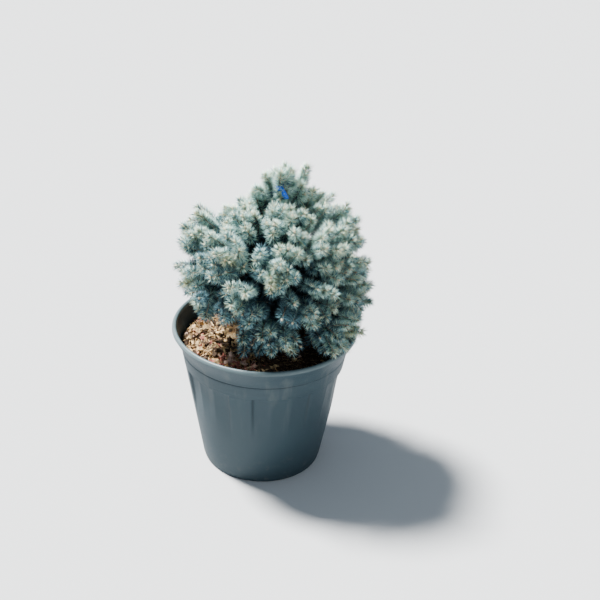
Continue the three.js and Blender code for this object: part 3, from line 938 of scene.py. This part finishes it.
class SPRUCE_OT_bark(Operator):
    """Fill the pot with bark, and strew chips and fallen needles on it"""

    bl_idname = "spruce.bark"
    bl_label = "Bark in the pot"

    def execute(self, context):
        settings = context.scene.spruce_bark
        bearing = np.radians(np.arange(0, 360, 3))
        rows = [around_axis(r, bearing, z)
                for r, z in ((113 * MM, BED_FLOOR), (154.5 * MM, 231 * MM), (165 * MM, 258 * MM))]
        for r in np.linspace(BARK_RADIUS, 8 * MM, 22):
            height = bark_height(r * np.cos(bearing), r * np.sin(bearing)) - BED_DEPTH
            rows.append(around_axis(r, bearing, height))
        mesh = revolved("bark_bed", np.array(rows), (0, 0, BED_FLOOR), (0, 0, BARK_CREST))
        # The bed shows in the gaps between the chips; its dark colour there is partly painted shade.
        bed = new_object("bark_bed", mesh, new_material("damp bark", chip_finish, (0.15, 0.10, 0.066)))
        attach(bed, "root")
        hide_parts("soil")

        materials = {name: new_material(name, chip_finish, colour) for name, colour in BARK_TINTS.items()}
        dice = np.random.default_rng(41)
        count = settings.chips
        x, y = on_disc(dice, count, CHIP_RADIUS, 0.004)
        length = settings.chip_length * dice.gamma(2.6, 1 / 2.6, count).clip(0.35, 1.75)
        z = bark_height(x, y) + dice.uniform(-3.5, 3.2, count) * MM
        length = np.minimum(length, (CHIP_TIP_RADIUS - np.hypot(x, y)) / 0.7)
        sliver = dice.uniform(0, 1, count) < 0.6
        wide = length * np.where(sliver, 0.32, 1) * dice.uniform(0.4, 0.85, count)
        flat = length * np.where(sliver, 0.4, 1) * dice.uniform(0.3, 0.65, count)
        along = columns(dice.normal(0, 0.75, count), dice.normal(0, 0.75, count), 1)
        turn = columns(0, 0, dice.uniform(0, TURN, count))
        tree = standing_tree("bark chips", chip_shape, BARK_TINTS, jagged=True, smooth=False)
        chips = strewn("bark_chips", tree, {"Roughness": CHIP_JAG, **materials}, columns(x, y, z),
                       size=columns(length * np.where(sliver, 1.5, 1), wide, flat),
                       along=along, turn=turn, tint=chip_tints(dice, x, y))
        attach(chips, "root")
        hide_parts("soil")

        count = settings.litter
        x, y = on_disc(dice, count, LITTER_RADIUS, 0.02)
        z = bark_height(x, y) + dice.uniform(1.5, 4.5, count) * MM
        lie = dice.uniform(0, TURN, count)
        along = columns(np.cos(lie), np.sin(lie), dice.normal(0, 0.18, count))
        size = columns(LITTER_WIDTH, LITTER_WIDTH, dice.uniform(10, 17, count) * MM)
        dry = {"straw": new_material("straw", chip_finish, (0.52, 0.40, 0.24)),
               "orange bark": materials["orange bark"]}
        tree = standing_tree("fallen needles", needle_shape, dry)
        litter = strewn("fallen_needles", tree, dry, columns(x, y, z), size=size, along=along,
                        tint=dice.choice(2, count, p=[0.7, 0.3]))
        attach(litter, "root")
        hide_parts("soil")
        return {"FINISHED"}


def strung(lines):
    """One mesh of points and edges for many lines, each (points, radii, tint)."""
    points, radii, tints, edges = [], [], [], []
    for line, radius, tint in lines:
        start = len(points)
        points.extend(line.tolist())
        radii.extend(radius.tolist())
        tints.extend([tint] * len(line))
        edges.extend((start + i, start + i + 1) for i in range(len(line) - 1))
    return points_mesh("limb_lines", points, {"girth": np.array(radii), "tint": np.array(tints)}, edges)


class SPRUCE_OT_limbs(Operator):
    """Grow the trunk and its boughs in scaly bark"""

    bl_idname = "spruce.limbs"
    bl_label = "Trunk and boughs"

    def execute(self, context):
        settings = context.scene.spruce_limbs
        masses = all_masses()
        line = trunk_points(np.linspace(0, 1, 110))
        buried = line[0] - UPWARDS * np.linspace(9, 2, 3)[:, None] * MM
        line = np.concatenate([buried, line])
        lines = [(line, trunk_radius(line[:, 2], line[-1, 2]), OLD_BARK)]
        t = np.linspace(0, 1, 34)
        radius = blend(BOUGH_ROOT_RADIUS, BOUGH_TIP_RADIUS, t ** 0.7)
        radius = radius * (1 + 0.35 * np.clip(1 - t * 6, 0, 1) ** 2)
        lines += [(bough_points(mass, t), radius, OLD_BARK) for mass in masses[:-1]]
        bark = {"bark": new_material("spruce bark", bark_finish, settings.dark, settings.light)}
        limbs = grown("trunk_and_boughs", strung(lines), swept_tree("limbs in bark", bark),
                      {"Sides": 22, "Relief": settings.relief, **bark})
        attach(limbs, "root")
        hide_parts("trunk", *[f"bough_{mass['name']}" for mass in masses[:-1]])
        return {"FINISHED"}


def crown_of(context):
    """The masses and the shoots of the crown, by the panel's number of finer twigs."""
    masses = all_masses()
    return masses, all_shoots(masses, context.scene.spruce_crown.finer)


def shoot_radii(shoot, count):
    thick = SHOOT_RADIUS[shoot["rank"]] * MM
    return blend(SHOOT_TIP_RADIUS, thick, (1 - np.linspace(0, 1, count)) ** 1.4)


class SPRUCE_OT_twigs(Operator):
    """Grow the twigs of every mass on from its bough, with a bud on each tip"""

    bl_idname = "spruce.twigs"
    bl_label = "Twigs and buds"

    def execute(self, context):
        limb_settings = context.scene.spruce_limbs
        masses, shoots = crown_of(context)
        lines = []
        for shoot in shoots:
            line, radii = arc(*shoot["path"], np.linspace(0, 1, 9)), shoot_radii(shoot, 9)
            if shoot["rank"] in (FINER, SHADED):
                lines.append((line, radii, YOUNG_BARK if shoot["rank"] == FINER else OLD_BARK))
            else:
                lines.append((line[:5], radii[:5], OLD_BARK))
                lines.append((line[4:], radii[4:], YOUNG_BARK))
        bark = {
            "old twig": new_material("old twig", bark_finish, limb_settings.dark, limb_settings.light),
            "young twig": new_material("young twig", twig_finish, (0.26, 0.21, 0.15), (0.42, 0.36, 0.27)),
        }
        twigs = grown("twigs", strung(lines), swept_tree("twigs", bark), {"Sides": 6, "Relief": 0.0, **bark})
        nodes = [f"foliage_{mass['name']}" for mass in masses]
        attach(twigs, "root")
        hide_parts(*nodes)

        dice = np.random.default_rng(7)
        budded = [shoot["path"] for shoot in shoots if spray_depth(shoot) > 0.8 and shoot["rank"] != SHADED]
        count = len(budded)
        ends = np.array([path[2] for path in budded])
        wide = dice.uniform(4.2, 5.8, count) * MM
        size = columns(wide, wide, wide * dice.uniform(1.2, 1.6, count))
        # Buds above about 0.47 m get the pale tint and lower ones the darker: painted light above, painted
        # shade below.
        scales = {"bud": new_material("bud", plain, (0.36, 0.32, 0.235), 0.6),
                  "pale bud": new_material("pale bud", plain, (0.60, 0.53, 0.38), 0.6)}
        buds = strewn("buds", standing_tree("buds", bud_shape, scales), scales, ends,
                      size=size, along=np.array([path[2] - path[1] for path in budded]),
                      tint=(ends[:, 2] + dice.normal(0, 0.04, count) > 0.47).astype(int))
        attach(buds, "root")
        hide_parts(*nodes)
        return {"FINISHED"}


def spray_depth(shoot):
    """How near a shoot's bud is to the crown's outline, from 0 at the heart to about 1."""
    radial = shoot["path"][2] - HEART
    distance = np.linalg.norm(radial)
    return distance / (outline_reach(radial / distance) * shoot["mass"]["reach"])


def spray_tint(shoot):
    """The leading tint of one spray, as painted light and shade: palest high up, outside, on the right and on
    the leader, darker low down and near the heart.
    """
    rank = shoot["rank"]
    x, _, height = shoot["path"][2]
    # Sprays deep in the crown are painted deep and grey as shade; higher sprays count as nearer the outline,
    # painted lighter as if lit from above.
    depth = spray_depth(shoot) + 0.13 * np.clip((height - 0.46) / 0.1, 0, 1)
    if depth < (BRIGHT_DEPTH if rank == SHADED else GREY_DEPTH):
        return DEEP
    if depth < BRIGHT_DEPTH or rank == SHADED:
        return GREY
    draw = shoot["tint"] + (0.06 if rank == FINER else 0)
    if draw > 1.0:
        return YELLOW
    # Low sprays, most of all at the front and back, are painted darker as shade; sprays to the right are
    # painted lighter as light.
    low = np.clip((0.50 - height) / 0.13, -1, 1)
    aside = np.clip((abs(x) - 0.04) / 0.1, 0, 1)
    draw += (0.66 - 0.5 * aside if low > 0 else 0.5) * low - 0.15 * np.clip(x / 0.1, 0, 1)
    # The leader's sprays are painted paler: painted light.
    if shoot["mass"]["root"] is None:
        draw -= 0.3
    return GREY if draw > 0.98 else BLUE if draw > 0.55 else SILVER if draw > 0.08 else FROST


def spray_needles(shoot, settings, dice):
    """Places, directions, sizes and tints of the needles round one shoot, like a bottle brush's bristles."""
    path = shoot["path"]
    length = np.linalg.norm(path[2] - path[0])
    bare = BARE_SHARE[shoot["rank"]]
    density = 0.55 if shoot["rank"] == SHADED else LEADER_DENSITY if shoot["mass"]["root"] is None else 1
    count = int(length * (1 - bare) * settings.needles_per_metre * density)
    index = np.arange(count)
    along = np.clip((index + dice.uniform(0, 1, count)) / count, 0, 1)
    t = blend(bare, 0.985, along)
    place = arc(*path, t)
    forward = unit(arc(*path, t + 0.01) - arc(*path, t - 0.01))
    angle = index * GOLDEN_ANGLE + dice.normal(0, 0.25, count)
    out = out_from(forward, angle, side_of(unit(path[2] - path[0])))
    lean = np.radians(blend(75, 56, along ** 3)) + dice.normal(0, 0.16, count)
    crest = along > 0.92
    lean[crest] = np.radians(dice.uniform(12, 64, crest.sum()))
    aim = leant(forward, out, lean)
    aim[:, 2] += 0.14
    plump = np.sin(np.pi * blend(0.2, 0.76, along))
    size = settings.needle_length * blend(0.72, 1, plump) * dice.uniform(0.84, 1.1, count)
    width = settings.needle_width * dice.uniform(0.85, 1.1, count)
    thick = shoot_radii(shoot, 2)
    place = place + out * (blend(thick[0], thick[1], t) * 0.6)[:, None]

    own = spray_tint(shoot)
    tints, shares = zip(*SPRAY_MIX[own])
    tint = dice.choice(tints, count, p=shares)
    shaded = dice.uniform(0.12, 0.42)
    tint[along < shaded] = GREY
    tint[along < 0.6 * shaded] = DEEP
    # Cream tips are young growth, dealt most often in the sprays painted lightest, so they are also painted
    # highlights.
    young = 0 if own in (DEEP, GREY) else 0.18 if own == BLUE else 0.34
    tint[(along > 0.8) & (dice.uniform(0, 1, count) < young)] = CREAM
    return place, aim, columns(width, width, size), tint


class SPRUCE_OT_needles(Operator):
    """Set needles round every shoot of the crown, tinted spray by spray"""

    bl_idname = "spruce.needles"
    bl_label = "Needles"

    def execute(self, context):
        settings = context.scene.spruce_crown
        masses, shoots = crown_of(context)
        materials = {f"{tint} needles": new_material(f"{tint} needles", plain, getattr(settings, tint))
                     for tint in NEEDLE_TINTS}
        tree = standing_tree("needles", needle_shape, materials)

        def group(mass):
            half = "" if mass["tier"] == "upper" else "_front" if mass["bearing"] < 0 else "_back"
            return mass["tier"] + half

        for name in sorted({group(mass) for mass in masses}):
            dice = np.random.default_rng(sum(map(ord, name)))
            sprays = [spray_needles(shoot, settings, dice)
                      for shoot in shoots if group(shoot["mass"]) == name]
            place, aim, size, tint = (np.concatenate(part) for part in zip(*sprays))
            piece = strewn(f"needles_{name}", tree, materials, place, size=size, along=aim, tint=tint)
            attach(piece, "root")
            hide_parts(*[f"foliage_{mass['name']}" for mass in masses if group(mass) == name])
        return {"FINISHED"}


def ribbon(name, line, across, thickness, material):
    """A strip of tape along a line of points, as wide as the vectors across it, with a real thickness."""
    count = len(line)
    faces = [(row * count + i, row * count + i + 1, (row + 1) * count + i + 1, (row + 1) * count + i)
             for row in range(2) for i in range(count - 1)]
    points = np.concatenate([line - across / 2, line, line + across / 2])
    strip = new_object(name, smooth_mesh(name, points, faces), material)
    skin = strip.modifiers.new("thickness", "SOLIDIFY")
    skin.thickness = thickness
    skin.offset = 0
    solid = bpy.data.meshes.new_from_object(strip.evaluated_get(bpy.context.evaluated_depsgraph_get()))
    strip.modifiers.clear()
    strip.data = solid
    return strip


class SPRUCE_OT_tape(Operator):
    """Wind a strip of marker tape round a shoot under the leading tip, with a loose end"""

    bl_idname = "spruce.tape"
    bl_label = "Marker tape"

    def execute(self, context):
        settings = context.scene.spruce_tape
        paths = [shoot["path"] for shoot in crown_of(context)[1]
                 if shoot["mass"]["name"] == "leader" and shoot["rank"] == SIDE]
        path = min(paths, key=lambda p: np.linalg.norm(arc(*p, TAPE_PLACE)[0] - TAPE_KNOT))
        before, middle, after = arc(*path, [TAPE_PLACE - 0.05, TAPE_PLACE, TAPE_PLACE + 0.05])
        forward = unit(after - before)
        toward = unit(np.array((0.15, -1.0, 0.25)) + forward * forward[1])
        u = unit(toward - forward * (toward @ forward))
        turn = np.linspace(0, TURN * TAPE_TURNS, TAPE_LOOP_POINTS)
        swell = TAPE_LOOP + 0.7 * MM * turn / TURN
        loop = middle + leant(u, np.cross(forward, u), turn) * swell[:, None]
        share = np.linspace(0.05, 1, 14)
        drop = columns(share * 0.5, -0.25 * np.sin(share * 2.6), -share ** 1.2) * settings.tail
        limp = np.array((0.9, -0.25, 0.35))
        across = np.concatenate([np.tile(forward, (TAPE_LOOP_POINTS, 1)),
                                 [unit(blend(forward, limp, min(1, 1.6 * k))) for k in share]])
        tape = ribbon("marker_tape", np.concatenate([loop, loop[-1] + drop]), across * settings.width,
                      TAPE_THICKNESS, new_material("marker tape", tape_finish, settings.colour))
        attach(tape, "root")
        return {"FINISHED"}


def soft_light(name, kind, place, target, size, power):
    """A lamp aimed at a point: an area light of a size in metres, or a distant one of an angle in radians."""
    light = bpy.data.lights.new(name, kind)
    if kind == "SUN":
        light.angle = size
    else:
        light.size = size
    light.energy = power
    lamp = new_object(name, light)
    lamp.location = place
    lamp.rotation_euler = (Vector(target) - Vector(place)).to_track_quat("-Z", "Y").to_euler()


class SPRUCE_OT_studio(Operator):
    """Set the pale floor, the soft lights and the camera at the photograph's angle"""

    bl_idname = "spruce.studio"
    bl_label = "Studio"

    def execute(self, context):
        settings = context.scene.spruce_studio
        mesh = bpy.data.meshes.new("floor")
        corners = [(x * FLOOR_REACH, y * FLOOR_REACH, 0) for x, y in ((-1, -1), (1, -1), (1, 1), (-1, 1))]
        mesh.from_pydata(corners, [], [(0, 1, 2, 3)])
        floor = new_object("floor", mesh, new_material("floor", plain, settings.floor_colour, 0.9))

        world = bpy.data.worlds.new("studio")
        world.use_nodes = True
        room = Graph(world.node_tree)
        room.tree.nodes.clear()
        seen = room.node("ShaderNodeLightPath", output="Is Camera Ray")
        lit = room.node("ShaderNodeBackground", {"Color": ROOM_COLOUR, "Strength": settings.sky})
        wall = room.node("ShaderNodeBackground",
                         {"Color": BACKDROP_COLOUR, "Strength": BACKDROP_STRENGTH})
        both = room.node("ShaderNodeMixShader", {0: seen, 1: lit, 2: wall})
        room.node("ShaderNodeOutputWorld", {"Surface": both}, output=None)
        context.scene.world = world
        soft_light("key", "SUN", (-1.45, 0.65, 3.1), (0, 0, 0.4), math.radians(12), settings.key_power)
        soft_light("fill", "AREA", (1.6, -2.2, 1.5), (0, 0, 0.35), 2.0, settings.fill_power)

        data = bpy.data.cameras.new("camera")
        data.sensor_width = 36
        data.lens = CAMERA_LENS
        camera = new_object("camera", data)
        turn = Matrix.Rotation(math.pi / 2 - CAMERA_PITCH, 4, "X") @ Matrix.Rotation(CAMERA_ROLL, 4, "Z")
        camera.matrix_world = Matrix.Translation(CAMERA_PLACE) @ turn
        context.scene.camera = camera
        context.scene.view_settings.look = "AgX - Medium High Contrast"
        return {"FINISHED"}


class SPRUCE_PT_panel(Panel):
    """The steps that build the plant, with their sizes and colours"""

    bl_label = "Potted blue spruce"
    bl_space_type = "VIEW_3D"
    bl_region_type = "UI"
    bl_category = "Spruce"

    def draw(self, context):
        for operator, group in STEPS:
            box = self.layout.box()
            box.operator(operator.bl_idname)
            settings = getattr(context.scene, group)
            for name in settings.__annotations__:
                box.prop(settings, name)


STEPS = [
    (SPRUCE_OT_studio, "spruce_studio"),
    (SPRUCE_OT_pot, "spruce_pot"),
    (SPRUCE_OT_bark, "spruce_bark"),
    (SPRUCE_OT_limbs, "spruce_limbs"),
    (SPRUCE_OT_twigs, "spruce_crown"),
    (SPRUCE_OT_needles, "spruce_crown"),
    (SPRUCE_OT_tape, "spruce_tape"),
]
GROUPS = {
    "spruce_pot": PotSettings, "spruce_bark": BarkSettings, "spruce_limbs": LimbSettings,
    "spruce_crown": CrownSettings, "spruce_tape": TapeSettings, "spruce_studio": StudioSettings,
}
CLASSES = [*GROUPS.values(), *[operator for operator, _ in STEPS], SPRUCE_PT_panel]


def register():
    for cls in CLASSES:
        bpy.utils.register_class(cls)
    for name, group in GROUPS.items():
        setattr(bpy.types.Scene, name, PointerProperty(type=group))


def unregister():
    for name in GROUPS:
        delattr(bpy.types.Scene, name)
    for cls in reversed(CLASSES):
        bpy.utils.unregister_class(cls)


def main():
    register()
    for operator, _ in STEPS:
        family, step = operator.bl_idname.split(".")
        getattr(getattr(bpy.ops, family), step)()


if __name__ == "__main__":
    main()
